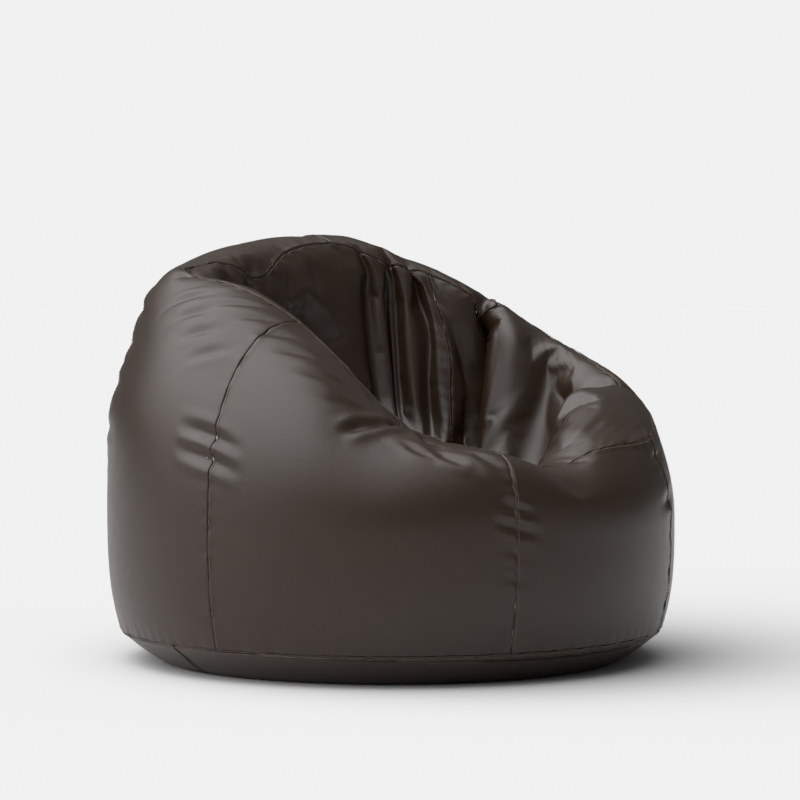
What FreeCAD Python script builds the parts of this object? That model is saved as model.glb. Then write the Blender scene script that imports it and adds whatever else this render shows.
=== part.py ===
"""Bean bag chair: a leather cover of gores, crown and base over a zipped liner full of beads.

Frame: millimetres, +Z up.  The chair faces -Y, so +X is to the left of someone sitting in it.
The origin is the middle of the footprint, on the floor.  An azimuth of 0 points along -Y, 90 along +X.

Every soft layer is the same skin at a different depth.  The skin is one closed surface whose
control net is worked out ring by ring: under the base, round the belly, over the rim and down
into the seat hollow.  Layers are differences of two skins, and panels are layers cut at the seams.
"""
import FreeCAD
import Part
import math
import os

V = FreeCAD.Vector

# ---- driving dimensions -------------------------------------------------------------------
BELLY_RADIUS = 463.0        # widest part of the bag
RIM_FRONT = 330.0           # height of the front lip
RIM_RISE = 365.0            # how much higher the back is
RIM_TILT = 35.0             # the rim is this much higher on the -X side, lower on the +X side
MOUTH_RADIUS = 325.0        # the ring along the top of the rim, seen from above
MOUTH_SHIFT = V(50, -35, 0)  # the mouth sits off centre
SEAT = V(80, -75, 215)      # lowest point of the seat hollow
SEAT_PLAN = V(SEAT.x, SEAT.y, 0)

# Rings of the skin's control net.  The foot and the wall stand out from the origin, and the
# bowl runs from the rim to the seat.
FOOT_RINGS = [(190, -5), (375, -5), (432, 12), (455, 62)]      # radius, height
WALL_RINGS = [(1.0, 0.34), (1.0, 0.54), (0.985, 0.76)]         # share of belly, share of rim height
BOWL_RINGS = [(0.24, 0.84), (0.42, 0.44), (0.62, 0.12), (0.84, 0.0)]  # share inwards, share of drop left
SHOULDER_REACH = 0.975      # where the shoulder starts, as a share of the belly radius
SHOULDER_INWARD = 0.42      # how far the shoulder ring has gone towards the rim
SHOULDER_HEIGHT = 0.955     # height of the shoulder ring, as a share of the rim height
RIM_CREST = 1.035           # the crest's control points stand this much over the finished rim
COLUMNS = 36                # columns of the control net
RINGS = 4 + len(FOOT_RINGS) + len(WALL_RINGS) + len(BOWL_RINGS)
DEGREE = 3                  # of the spline surface
BIG = 1200.0                # larger than the chair, for cutting tools

LEATHER = 2.0               # cover: leather with its backing
LINER = 0.8                 # woven liner
LAYER_GAP = 1.0             # between cover, liner and beads
SEAM_GAP = 0.4              # open line between two sewn panels

BASE_SEAM_Z = 48.0          # where the base panel meets the gores
LINER_SEAM_Z = 52.0         # the liner's own base seam
CROWN_OUTSET = 8.0          # the crown seam runs this far outside the mouth's ring, on the crest
CROWN_FLOOR = 150.0         # the cutting tool for the crown starts at this height
CROWN_SEAM_AZIMUTH = 130.0  # the crown's middle seam runs through the seat this way
GORE_SEAMS = [-77, -16, 35, 108, 166, 230]  # azimuths of the six side seams

THREAD = 0.8                # thread diameter, drawn as a square strip
THREAD_LIFT = 0.3           # thread clears the leather by this much
STITCH_OFFSET = 4.5         # distance of the topstitch from its seam
STITCH_CLEAR = 1.0          # side rows end this far short of the ring row
STITCH_START = 60.0         # side rows start this far from the middle axis
CROWN_ROW_START = 12.0      # the crown's two rows start this far from the deepest point
BASE_STITCH_CLEAR = 2.0     # and this far above the base seam

# ---- zips: cover zip, and liner zip above it ----------------------------------------------
COVER_ZIP = dict(length=600.0, z=14.6, rod=1.4, tape=0.8, tape_edge=15.5, slider=22.0,
                 width=13.0, plate=1.6, channel=4.0, slit=1.8, bridge=4.0, slot=8.0)
LINER_ZIP = dict(length=500.0, z=25.3, rod=1.0, tape=0.6, tape_edge=16.0, slider=17.0,
                 width=9.6, plate=1.2, channel=3.0, slit=1.2, bridge=2.0, slot=6.0)
ROD_SPLIT = 1.6             # the two coils stand this far apart, so the slider's post passes
TAPE_TAIL = 8.0             # tape past the last tooth
SLOT_TAIL = 9.0             # the slot in the base is this much longer than the teeth, each end
STOP = 3.0                  # length of an end stop
STOP_GAP = 0.1              # between a stop and the last tooth
STOP_PROUD = 1.2            # thickness of a stop, times the coil's
SLIDER_CLEAR = 3.0          # the closed slider stands this far from the first tooth's end
SLIDER_LIP = 1.3            # width of the slider's turned-in flanges
POST = 1.0                  # thickness of the slider's post
POST_LENGTH = 5.0
BRIDGE_REACH = 0.27         # half the length of the slider's bridge, times the slider's
BRIDGE_LEG = 1.6
BRIDGE_HALF = 1.4           # half the bridge's width
BRIDGE_BAR = 1.2            # thickness of the bridge's bar
TAB_PIN = 0.95              # radius of the pull tab's cross pin
TAB_PIN_DROP = 1.35         # the pin's centre under the slider's plate
TAB_REACH = 32.0            # pull tab, pivot to the middle of its rounded end
TAB_YOKE = (1.8, 3.6)       # inner and outer half width of the yoke
TAB_YOKE_LENGTH = 10.0
TAB_HALF = 4.0              # half the tab's width
TAB_THICK = 1.8
TAB_HOLE = 1.8              # radius of the hole in the tab

# Long recesses over the zips: half width, half length, height of the flat top, ramp's run
COVER_RECESS = (14.0, 318.0, 12.0)
LINER_RECESS = (18.0, 322.0, 24.0)
BEAD_RECESS = (22.0, 326.0, 31.0)
COVER_RAMP, LINER_RAMP, BEAD_RAMP = 22.0, 28.0, 32.0


def direction(azimuth):
    a = math.radians(azimuth)
    return V(math.sin(a), -math.cos(a), 0)


# ---- the skin -----------------------------------------------------------------------------
def rim_height(azimuth):
    backness = (1 - math.cos(math.radians(azimuth))) / 2
    return RIM_FRONT + RIM_RISE * backness ** 0.75 - RIM_TILT * direction(azimuth).x


def rim_point(azimuth):
    outward = direction(azimuth)
    return outward * (MOUTH_RADIUS + MOUTH_SHIFT.dot(outward))


def control_column(azimuth):
    """Points down one radial section, from the base centre out, up, over the rim and in."""
    out, rim, top = direction(azimuth), rim_point(azimuth), rim_height(azimuth)
    column = [V(0, 0, FOOT_RINGS[0][1])]
    for radius, height in FOOT_RINGS:
        column.append(out * radius + V(0, 0, height))
    for reach, height in WALL_RINGS:
        column.append(out * BELLY_RADIUS * reach + V(0, 0, top * height))
    shoulder = out * BELLY_RADIUS * SHOULDER_REACH
    column.append(shoulder + (rim - shoulder) * SHOULDER_INWARD + V(0, 0, top * SHOULDER_HEIGHT))
    column.append(rim + V(0, 0, top * RIM_CREST))
    for inward, left in BOWL_RINGS:
        drop = V(0, 0, SEAT.z + (top - SEAT.z) * left)
        column.append(rim + (SEAT_PLAN - rim) * inward + drop)
    column.append(V(SEAT))
    return column


def control_net(depth):
    """The skin's control points, moved inwards by depth along the surface normals."""
    net = [control_column(360.0 * i / COLUMNS) for i in range(COLUMNS)]
    moved = []
    for i, column in enumerate(net):
        before, after = net[i - 1], net[(i + 1) % COLUMNS]
        new = [column[0] + V(0, 0, depth)]
        for k in range(1, RINGS - 1):
            around = after[k] - before[k]
            along = column[k + 1] - column[k - 1]
            normal = around.cross(along).normalize()
            new.append(column[k] - normal * depth)
        new.append(column[-1] - V(0, 0, depth))
        moved.append(new)
    return moved


def skin(depth, floor):
    """A closed solid inside the skin at this depth, cut off flat at height floor."""
    spans = RINGS - DEGREE
    knots = [i / spans for i in range(spans + 1)]
    mults = [DEGREE + 1] + [1] * (spans - 1) + [DEGREE + 1]
    round_knots = [i / COLUMNS for i in range(COLUMNS + 1)]
    surface = Part.BSplineSurface()
    surface.buildFromPolesMultsKnots(
        control_net(depth), [1] * (COLUMNS + 1), mults, round_knots, knots, True, False,
        DEGREE, DEGREE)
    solid = Part.Solid(Part.Shell([surface.toShape()]))
    if solid.Volume < 0:
        solid.reverse()
    return solid.cut(slab_z(floor - BIG, floor))


# ---- cutting tools ------------------------------------------------------------------------
def block(x0, x1, y0, y1, z0, z1):
    return Part.makeBox(x1 - x0, y1 - y0, z1 - z0, V(x0, y0, z0))


def side_block(x0, x1, side, near, far, z0, z1):
    """A block on one side of the XZ plane, from near to far away from it."""
    y0, y1 = sorted((side * near, side * far))
    return block(x0, x1, y0, y1, z0, z1)


def slab_z(z0, z1):
    return block(-BIG, BIG, -BIG, BIG, z0, z1)


def wedge(azimuth0, azimuth1, centre=V(0, 0, 0)):
    """A tall prism between two azimuths, pulled back by half a seam gap on each side."""
    middle = direction((azimuth0 + azimuth1) / 2)
    half = math.radians((azimuth1 - azimuth0) / 2)
    apex = centre + middle * (SEAM_GAP / 2 / math.sin(half))
    near, far = apex + direction(azimuth0) * BIG, apex + direction(azimuth1) * BIG
    wire = Part.makePolygon([apex, near, apex + middle * BIG * 2, far, apex])
    return Part.Face(wire).extrude(V(0, 0, BIG))


def thread_plate(azimuth, offset, centre, start):
    """An upright plate as thick as the thread, along an azimuth, moved sideways by offset."""
    plate = block(-THREAD / 2, THREAD / 2, -BIG, -start, 0, BIG)
    plate.translate(V(offset, 0, 0))
    plate.rotate(V(0, 0, 0), V(0, 0, 1), azimuth)
    plate.translate(centre)
    return plate


def crown_tool(wider=0.0):
    """An upright cylinder that holds the crown, as seen from above."""
    radius = MOUTH_RADIUS + CROWN_OUTSET + wider
    return Part.makeCylinder(radius, BIG, MOUTH_SHIFT + V(0, 0, CROWN_FLOOR))


def recess(size, ramp, wall=0.0):
    """The long recess over a zip: flat on top, with ramps down on all four sides."""
    half_width, half_length, top = size

    def outline(z, grow):
        x, y = half_length + wall + grow, half_width + wall + grow
        return Part.makePolygon([V(-x, -y, z), V(x, -y, z), V(x, y, z), V(-x, y, z), V(-x, -y, z)])

    return Part.makeLoft([outline(-1, ramp), outline(top + wall, 0)], True, True)


def base_half(spec, side):
    """Everything on one side of the base's middle, with room for the zip."""
    middle = SEAM_GAP / 2
    end = spec["length"] / 2 + SLOT_TAIL
    half = side_block(-BIG, BIG, side, spec["slot"], BIG, -1, BIG)
    for sign in (-1, 1):
        x0, x1 = sorted((sign * end, sign * BIG))
        half = half.fuse(side_block(x0, x1, side, middle, spec["slot"], -1, BIG))
    return half


# ---- zips ---------------------------------------------------------------------------------
def coil_edge(spec):
    """Distance of a coil's outer edge from the middle of the zip."""
    return ROD_SPLIT / 2 + 2 * spec["rod"]


def zip_tape(spec, side):
    half = spec["length"] / 2 + TAPE_TAIL
    z0 = spec["z"] - spec["tape"] / 2
    inner = coil_edge(spec) + 0.05
    return side_block(-half, half, side, inner, spec["tape_edge"], z0, z0 + spec["tape"])


def zip_coil(spec, side):
    y = side * (ROD_SPLIT / 2 + spec["rod"])
    start = V(-spec["length"] / 2, y, spec["z"])
    return Part.makeCylinder(spec["rod"], spec["length"], start, V(1, 0, 0))


def zip_stops(spec, end):
    """Crimped stops on the tapes' ends: two at the closed end, one across at the open end."""
    near = spec["length"] / 2 + STOP_GAP
    x0, x1 = sorted((end * near, end * (near + STOP)))
    half = spec["rod"] * STOP_PROUD
    z0, z1 = spec["z"] - half, spec["z"] + half
    if end > 0:
        return block(x0, x1, -coil_edge(spec), coil_edge(spec), z0, z1)
    pair = [side_block(x0, x1, side, ROD_SPLIT / 2, coil_edge(spec), z0, z1) for side in (-1, 1)]
    return Part.Compound(pair)


def rest_x(spec):
    """The slider's middle when the zip is closed, near the stops at the -X end."""
    return -spec["length"] / 2 + spec["slider"] / 2 + SLIDER_CLEAR


def zip_slider(spec):
    """Two plates with turned-in flanges, joined by a post at the leading end, with a bridge."""
    half, w = spec["slider"] / 2, spec["width"] / 2
    low, high = spec["z"] - spec["channel"] / 2, spec["z"] + spec["channel"] / 2
    under, slit = low - spec["plate"], spec["slit"] / 2
    body = block(-half, half, -w, w, under, low)
    body = body.fuse(block(-half, half, -w, w, high, high + spec["plate"]))
    for side in (-1, 1):
        body = body.fuse(side_block(-half, half, side, w - SLIDER_LIP, w, low, spec["z"] - slit))
        body = body.fuse(side_block(-half, half, side, w - SLIDER_LIP, w, spec["z"] + slit, high))
    body = body.fuse(block(-half, -half + POST_LENGTH, -POST / 2, POST / 2, low, high))
    reach, bottom = spec["slider"] * BRIDGE_REACH, under - spec["bridge"]
    for x in (-reach, reach - BRIDGE_LEG):
        body = body.fuse(block(x, x + BRIDGE_LEG, -BRIDGE_HALF, BRIDGE_HALF, bottom, under))
    body = body.fuse(block(-reach, reach, -BRIDGE_HALF, BRIDGE_HALF, bottom, bottom + BRIDGE_BAR))
    body = body.removeSplitter()
    body.translate(V(rest_x(spec), 0, 0))
    return body


def tab_pivot():
    """Centre of the pull tab's cross pin, inside the cover slider's bridge."""
    under = COVER_ZIP["z"] - COVER_ZIP["channel"] / 2 - COVER_ZIP["plate"]
    return V(rest_x(COVER_ZIP), 0, under - TAB_PIN_DROP)


def pull_tab():
    """A yoke round the bridge and a rounded plate with a hole, lying along +X."""
    inner, outer = TAB_YOKE
    low, high, end = -TAB_PIN, TAB_THICK - TAB_PIN, TAB_REACH - TAB_HALF
    tab = Part.makeCylinder(TAB_PIN, 2 * outer, V(0, -outer, 0), V(0, 1, 0))
    for side in (-1, 1):
        tab = tab.fuse(side_block(0, TAB_YOKE_LENGTH, side, inner, outer, low, high))
    plate = block(TAB_YOKE_LENGTH - 1.5, end, -TAB_HALF, TAB_HALF, low, high)
    plate = plate.fuse(Part.makeCylinder(TAB_HALF, TAB_THICK, V(end, 0, low)))
    plate = plate.cut(Part.makeCylinder(TAB_HOLE, BIG, V(end - 1, 0, -BIG / 2)))
    tab = tab.fuse(plate).removeSplitter()
    tab.translate(tab_pivot())
    return tab


# ---- build --------------------------------------------------------------------------------
def save(name, shape):
    if not shape.Solids or any(not s.isValid() for s in shape.Solids):
        print("BAD", name, len(shape.Solids))
    shape = shape.Solids[0] if len(shape.Solids) == 1 else Part.Compound(shape.Solids)
    shape.exportStep(f"parts/{name}.step")
    print(f"{name:28s} {len(shape.Solids)} solid(s) {shape.Volume / 1e3:10.2f} cm3")


def build_cover():
    outer = skin(0, 0).cut(recess(COVER_RECESS, COVER_RAMP))
    shell = outer.cut(skin(LEATHER, LEATHER).cut(recess(COVER_RECESS, COVER_RAMP, LEATHER)))
    upper = shell.common(slab_z(BASE_SEAM_Z + SEAM_GAP / 2, BIG))
    sides = upper.cut(crown_tool(SEAM_GAP / 2))
    crown = upper.common(crown_tool(-SEAM_GAP / 2))
    seams = GORE_SEAMS + [GORE_SEAMS[0] + 360]
    for n, (a, b) in enumerate(zip(seams, seams[1:]), 1):
        save(f"side_panel_{n}", sides.common(wedge(a, b)))
    for name, side in (("left", 1), ("right", -1)):
        half = side_block(-BIG, BIG, side, SEAM_GAP / 2, BIG, 0, BIG)
        half.rotate(V(0, 0, 0), V(0, 0, 1), CROWN_SEAM_AZIMUTH - 90)
        half.translate(SEAT_PLAN)
        save(f"crown_panel_{name}", crown.common(half))
    base = shell.common(slab_z(-1, BASE_SEAM_Z - SEAM_GAP / 2))
    for name, side in (("front", -1), ("rear", 1)):
        save(f"base_panel_{name}", base.common(base_half(COVER_ZIP, side)))


def build_stitching():
    """Topstitch threads, just proud of the leather, beside each seam."""
    layer = skin(-THREAD_LIFT - THREAD, 0).cut(skin(-THREAD_LIFT, 0))
    thread = layer.common(slab_z(BASE_SEAM_Z + BASE_STITCH_CLEAR, BIG))
    outside = thread.cut(crown_tool(STITCH_OFFSET + THREAD + STITCH_CLEAR))
    for n, azimuth in enumerate(GORE_SEAMS, 1):
        plate = thread_plate(azimuth, STITCH_OFFSET, V(0, 0, 0), STITCH_START)
        save(f"side_stitching_{n}", outside.common(plate))
    ring = crown_tool(STITCH_OFFSET + THREAD).cut(crown_tool(STITCH_OFFSET))
    save("crown_ring_stitching", thread.common(ring))
    inside = thread.common(crown_tool(-STITCH_OFFSET))
    rows = []
    for turn, offset in ((0, STITCH_OFFSET), (180, -STITCH_OFFSET)):
        plate = thread_plate(CROWN_SEAM_AZIMUTH + turn, offset, SEAT_PLAN, CROWN_ROW_START)
        rows.append(inside.common(plate))
    save("crown_middle_stitching", Part.Compound(rows))
    top = BASE_SEAM_Z - STITCH_OFFSET
    save("base_stitching", layer.common(slab_z(top - THREAD, top)))


def build_liner_and_beads():
    depth = LEATHER + LAYER_GAP
    outer = skin(depth, depth).cut(recess(LINER_RECESS, LINER_RAMP))
    depth += LINER
    liner = outer.cut(skin(depth, depth).cut(recess(LINER_RECESS, LINER_RAMP, LINER)))
    upper = liner.common(slab_z(LINER_SEAM_Z, BIG))
    for n in range(4):
        quarter = wedge(45 + 90 * n, 135 + 90 * n, SEAT_PLAN)
        save(f"liner_panel_{n + 1}", upper.common(quarter))
    base = liner.common(slab_z(-1, LINER_SEAM_Z - SEAM_GAP))
    for name, side in (("front", -1), ("rear", 1)):
        save(f"liner_base_{name}", base.common(base_half(LINER_ZIP, side)))
    depth += LAYER_GAP
    save("bead_filling", skin(depth, depth).cut(recess(BEAD_RECESS, BEAD_RAMP)))


def build_zip(prefix, spec):
    for name, side in (("front", -1), ("rear", 1)):
        save(f"{prefix}_tape_{name}", zip_tape(spec, side))
        save(f"{prefix}_coil_{name}", zip_coil(spec, side))
    save(f"{prefix}_top_stops", zip_stops(spec, -1))
    save(f"{prefix}_bottom_stop", zip_stops(spec, 1))
    save(f"{prefix}_slider", zip_slider(spec))


os.makedirs("parts", exist_ok=True)
build_cover()
build_stitching()
build_liner_and_beads()
build_zip("cover_zip", COVER_ZIP)
build_zip("liner_zip", LINER_ZIP)
save("cover_zip_pull_tab", pull_tab())
print("tab pivot", tab_pivot(), "cover slider x", rest_x(COVER_ZIP), "liner slider x", rest_x(LINER_ZIP))
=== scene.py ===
# %% [markdown]
# # A leather bean bag chair
# The chair is a bag of soft beads in a leather cover. The cover is six upright panels, a crown that is
# pushed down into a seat, and a round base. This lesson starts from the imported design. It keeps the metal
# parts, and makes each soft piece again over the same shape, with folds, seams and stitches.

# %% Load the design
import math
import bmesh
import bpy
import numpy as np
from mathutils import Matrix, Vector


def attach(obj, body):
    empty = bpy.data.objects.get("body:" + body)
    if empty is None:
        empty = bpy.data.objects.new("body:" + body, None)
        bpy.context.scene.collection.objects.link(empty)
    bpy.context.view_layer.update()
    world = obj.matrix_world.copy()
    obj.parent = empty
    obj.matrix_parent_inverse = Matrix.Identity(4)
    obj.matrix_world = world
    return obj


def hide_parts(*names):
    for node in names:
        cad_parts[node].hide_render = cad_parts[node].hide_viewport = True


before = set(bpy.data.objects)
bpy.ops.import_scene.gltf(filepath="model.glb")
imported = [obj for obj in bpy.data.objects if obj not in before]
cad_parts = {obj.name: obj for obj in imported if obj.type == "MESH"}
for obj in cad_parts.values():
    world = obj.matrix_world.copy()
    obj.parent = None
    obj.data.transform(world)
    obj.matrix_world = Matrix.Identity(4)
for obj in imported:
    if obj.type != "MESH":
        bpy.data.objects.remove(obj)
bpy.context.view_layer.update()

# %% [markdown]
# ## The studio
# A pale seamless room. All the light comes from the sky around it, so the floor is lit evenly and only the
# chair darkens it. One broad patch of that sky, high on the left, is brighter, as a large softbox would be.
# The camera sees an even backdrop in place of the sky, and the floor has nearly the same tone.

# %% Camera
EYE_DISTANCE, EYE_HEIGHT, EYE_AZIMUTH = 5.0, 0.605, -40.0
TILT_DOWN, TURN_RIGHT = math.radians(2.145), math.radians(0.168)


def heading(azimuth):
    """The level direction of an azimuth in degrees: 0 is -Y, 90 is +X."""
    a = math.radians(azimuth)
    return Vector((math.sin(a), -math.cos(a), 0))


camera_data = bpy.data.cameras.new("camera")
camera_data.lens, camera_data.sensor_width = 138.15, 36.0
camera = bpy.data.objects.new("camera", camera_data)
bpy.context.scene.collection.objects.link(camera)
camera.location = heading(EYE_AZIMUTH) * EYE_DISTANCE + Vector((0, 0, EYE_HEIGHT))
camera.rotation_euler = (math.pi / 2 - TILT_DOWN, 0, math.radians(EYE_AZIMUTH) - TURN_RIGHT)
bpy.context.scene.camera = camera
print("camera at", tuple(round(v, 3) for v in camera.location))

# %% [markdown]
# ## Shader arithmetic
# A small class wraps a node's output, so that shader maths can be written as sums.

# %% A wrapped socket


class Value:
    """A number that varies over a surface, on which Python's operators add Math nodes."""

    def __init__(self, shop, socket):
        self.shop, self.socket = shop, socket

    def _math(self, operation, *inputs):
        return self.shop.node("ShaderNodeMath", {"operation": operation}, dict(enumerate(inputs)))

    def __add__(self, other):
        return self._math("ADD", self, other)

    def __sub__(self, other):
        return self._math("SUBTRACT", self, other)

    def __mul__(self, other):
        return self._math("MULTIPLY", self, other)

    def __rsub__(self, other):
        return self._math("SUBTRACT", other, self)

    def clip(self):
        return self.shop.node("ShaderNodeMath", {"operation": "ADD", "use_clamp": True}, {0: self, 1: 0.0})

    __radd__, __rmul__ = __add__, __mul__


class Shop:
    """Adds nodes to one node tree."""

    def __init__(self, tree):
        self.tree = tree
        tree.nodes.clear()

    def node(self, kind, settings=None, inputs=None, out=0):
        """One node of any kind: its settings, then its inputs by name or number; gives an output."""
        made = self.tree.nodes.new(kind)
        for name, value in (settings or {}).items():
            setattr(made, name, value)
        for name, value in (inputs or {}).items():
            socket = made.inputs[name]
            if isinstance(value, Value):
                self.tree.links.new(value.socket, socket)
            else:
                socket.default_value = value
        return Value(self, made.outputs[out]) if made.outputs else None


# %% Sky and floor
BACKDROP = 0.877            # what the camera sees of the backdrop
KEY_FROM = (-0.50, 0.26, 0.82)
EYE_LEVEL_LIGHT, CEILING_LIGHT, PATCH_LIGHT, LOW_LIGHT = 0.09, 0.16, 3.2, 0.9
FLOOR_TONE, FLOOR_DROP, FLOOR_REACH = 0.575, 0.0004, 60.0


def light_sky():
    """A sky that is dim at eye level, a little brighter above, and brightest in one patch on the left."""
    world = bpy.data.worlds.new("studio")
    bpy.context.scene.world = world
    world.use_nodes = True
    shop = Shop(world.node_tree)
    seen = shop.node("ShaderNodeTexCoord", out="Generated")
    toward = Vector(KEY_FROM).normalized()
    near = shop.node("ShaderNodeVectorMath", {"operation": "DOT_PRODUCT"}, {0: seen, 1: tuple(toward)},
                     out="Value")
    patch = shop.node("ShaderNodeMapRange", {"interpolation_type": "SMOOTHSTEP"},
                      {"Value": near, "From Min": 0.45, "From Max": 0.95, "To Min": 0.0, "To Max": 1.0})
    height = shop.node("ShaderNodeVectorMath", {"operation": "DOT_PRODUCT"}, {0: seen, 1: (0, 0, 1)},
                       out="Value")
    ceiling = shop.node("ShaderNodeMapRange", {"interpolation_type": "SMOOTHSTEP"},
                        {"Value": height, "From Min": 0.05, "From Max": 0.85, "To Min": 0.0, "To Max": 1.0})
    under = shop.node("ShaderNodeMapRange", None,
                      {"Value": height, "From Min": -0.05, "From Max": -0.4, "To Min": 0.0, "To Max": 1.0})
    lit = EYE_LEVEL_LIGHT + ceiling * CEILING_LIGHT + patch * PATCH_LIGHT + under * LOW_LIGHT
    camera_sees = shop.node("ShaderNodeLightPath", out="Is Camera Ray")
    strength = shop.node("ShaderNodeMix", {"data_type": "FLOAT"}, {0: camera_sees, 2: lit, 3: BACKDROP})
    sky = shop.node("ShaderNodeBackground", None, {"Color": (1.0, 1.0, 1.0, 1), "Strength": strength})
    shop.node("ShaderNodeOutputWorld", None, {"Surface": sky})


def floor_material():
    """Pale and dull from above; clear from below."""
    made = bpy.data.materials.new("pale_floor")
    made.use_nodes = True
    shop = Shop(made.node_tree)
    from_below = shop.node("ShaderNodeNewGeometry", out="Backfacing")
    pale = shop.node("ShaderNodeBsdfDiffuse", None, {"Color": (FLOOR_TONE, FLOOR_TONE, FLOOR_TONE, 1)})
    clear = shop.node("ShaderNodeBsdfTransparent")
    either = shop.node("ShaderNodeMixShader", None, {0: from_below, 1: pale, 2: clear})
    shop.node("ShaderNodeOutputMaterial", None, {"Surface": either})
    return made


def lay_floor():
    mesh = bmesh.new()
    bmesh.ops.create_grid(mesh, x_segments=1, y_segments=1, size=FLOOR_REACH)
    bmesh.ops.translate(mesh, verts=mesh.verts, vec=(0, 0, -FLOOR_DROP))
    data = bpy.data.meshes.new("floor")
    mesh.to_mesh(data)
    mesh.free()
    data.materials.append(floor_material())
    floor = bpy.data.objects.new("floor", data)
    bpy.context.scene.collection.objects.link(floor)


light_sky()
lay_floor()
bpy.context.scene.view_settings.view_transform = "Standard"

# %% [markdown]
# ## The bag's shape
# The bag is drawn as upright sections, one for each azimuth round the chair. Each section starts at the
# middle of the base, goes out, up the belly, over the rim and down into the seat. The sections differ:
# the rim is low at the front and high at the back, and the shoulders are rounder in some places.

# %% Rim and shoulder by azimuth
COLUMNS, RINGS = 600, 300
BASE_RING, CROWN_RING = 66, 178
SEAT = Vector((0.092, -0.078, 0.205))
CONTACT_RADIUS, HEM_RADIUS, HEM_HEIGHT = 0.366, 0.440, 0.050
BELLY_RADIUS, BELLY_HEIGHT = 0.461, 0.22
FOOT_OUT, FOOT_UP = 0.9, 1.25       # how the underside curves up to the hem

# azimuth: radius of the crest, its height, how square the shoulder is
RIM = {-165: (0.305, 0.680, 2.1), -135: (0.340, 0.645, 1.8), -124: (0.345, 0.635, 1.65),
       -100: (0.285, 0.605, 2.0), -77: (0.250, 0.545, 2.2), -57: (0.270, 0.480, 2.2),
       -44: (0.285, 0.415, 2.2), -33: (0.320, 0.380, 2.4), -14: (0.370, 0.350, 3.0),
       0: (0.360, 0.325, 2.8), 20: (0.325, 0.380, 2.2), 45: (0.330, 0.435, 2.0), 57: (0.365, 0.445, 1.95),
       90: (0.365, 0.515, 2.0), 110: (0.315, 0.590, 2.1), 142: (0.300, 0.670, 2.2),
       158: (0.305, 0.695, 2.2), 172: (0.300, 0.695, 2.2)}


def round_chair(table, index, azimuth):
    """One value of a table as a smooth closed curve of azimuth."""
    stops = sorted((a % 360, row[index]) for a, row in table.items())
    x, y = (np.array(v) for v in zip(*stops))
    x = np.concatenate((x[-2:] - 360, x, x[:2] + 360))
    y = np.concatenate((y[-2:], y, y[:2]))
    slope = np.gradient(y, x)
    at = np.mod(azimuth, 360)
    i = np.clip(np.searchsorted(x, at) - 1, 0, len(x) - 2)
    h = x[i + 1] - x[i]
    t = (at - x[i]) / h
    start = (1 + 2 * t) * (1 - t) ** 2 * y[i] + t * (1 - t) ** 2 * h * slope[i]
    return start + t * t * (3 - 2 * t) * y[i + 1] - t * t * (1 - t) * h * slope[i + 1]


azimuths = np.arange(COLUMNS) * 360.0 / COLUMNS
outward = np.stack([np.sin(np.radians(azimuths)), -np.cos(np.radians(azimuths))], axis=1)
crest_radius, crest_height, square = (round_chair(RIM, k, azimuths) for k in range(3))

# %% Sections
STEPS = 240
BACK_WALL = [(0, 1), (0.05, 1.005), (0.12, 0.97), (0.18, 0.80), (0.25, 0.50), (0.38, 0.20), (0.62, 0.04),
             (0.88, 0), (1, 0)]
FRONT_WALL = [(0, 1), (0.07, 1.0), (0.16, 0.93), (0.25, 0.68), (0.36, 0.38), (0.56, 0.13), (0.80, 0.01),
              (0.92, 0), (1, 0)]


def easy_curve(points, count):
    """A smooth curve pulled by the points: a uniform cubic B-spline that meets its two ends."""
    p = np.array(points, float)
    p = np.concatenate((p[:1], p[:1], p, p[-1:], p[-1:]))
    spans = len(p) - 3
    at = np.linspace(0, spans - 1e-9, count)
    i = at.astype(int)
    t = (at - i)[:, None]
    return ((1 - t) ** 3 * p[i] + (3 * t ** 3 - 6 * t ** 2 + 4) * p[i + 1]
            + (-3 * t ** 3 + 3 * t ** 2 + 3 * t + 1) * p[i + 2] + t ** 3 * p[i + 3]) / 6


def sections():
    """Points of every section from the hem to the seat, and the number of the point at the crest."""
    belly_height = BELLY_HEIGHT + 0.125 * (crest_height - 0.35)
    t = np.linspace(0, 1, STEPS // 4)[:, None]
    low_r = np.repeat(BELLY_RADIUS - (BELLY_RADIUS - HEM_RADIUS) * (1 - t) ** 3.2, COLUMNS, axis=1)
    low_z = HEM_HEIGHT + (belly_height - HEM_HEIGHT) * t
    turn = np.linspace(0, math.pi / 2, STEPS)[1:, None]
    power = 2 / square
    high_r = crest_radius + (BELLY_RADIUS - crest_radius) * np.cos(turn) ** power
    high_z = belly_height + (crest_height - belly_height) * np.sin(turn) ** power
    r, z = np.concatenate((low_r, high_r)), np.concatenate((low_z, high_z))
    outer = np.stack([r * outward[:, 0], r * outward[:, 1], z], axis=2)
    crest = outer[-1]
    backness = np.clip((crest_height - 0.34) / 0.22, 0, 1)[None, :, None]
    back, front = easy_curve(BACK_WALL, STEPS), easy_curve(FRONT_WALL, STEPS)
    mix = back[1:, None, :] * backness + front[1:, None, :] * (1 - backness)
    inward, left = mix[:, :, 0], mix[:, :, 1]
    inner = np.empty((STEPS - 1, COLUMNS, 3))
    for k in (0, 1):
        inner[:, :, k] = crest[:, k] + (SEAT[k] - crest[:, k]) * inward
    inner[:, :, 2] = SEAT.z + (crest[:, 2] - SEAT.z) * left
    return np.concatenate((outer, inner)), len(outer) - 1


# azimuth: how far inside the crest the crown seam runs, negative where it runs outside
SEAM_DROP = {-175: (0.06,), -155: (0.10,), -135: (0.03,), -120: (0.01,), -60: (0.015,), -20: (0.01,),
             0: (-0.01,), 20: (-0.09,), 35: (-0.12,), 50: (-0.09,), 60: (-0.02,), 95: (0.0,),
             110: (0.035,), 125: (0.04,), 150: (0.07,), 170: (0.05,)}
FOOT_RINGS = 8


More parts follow.
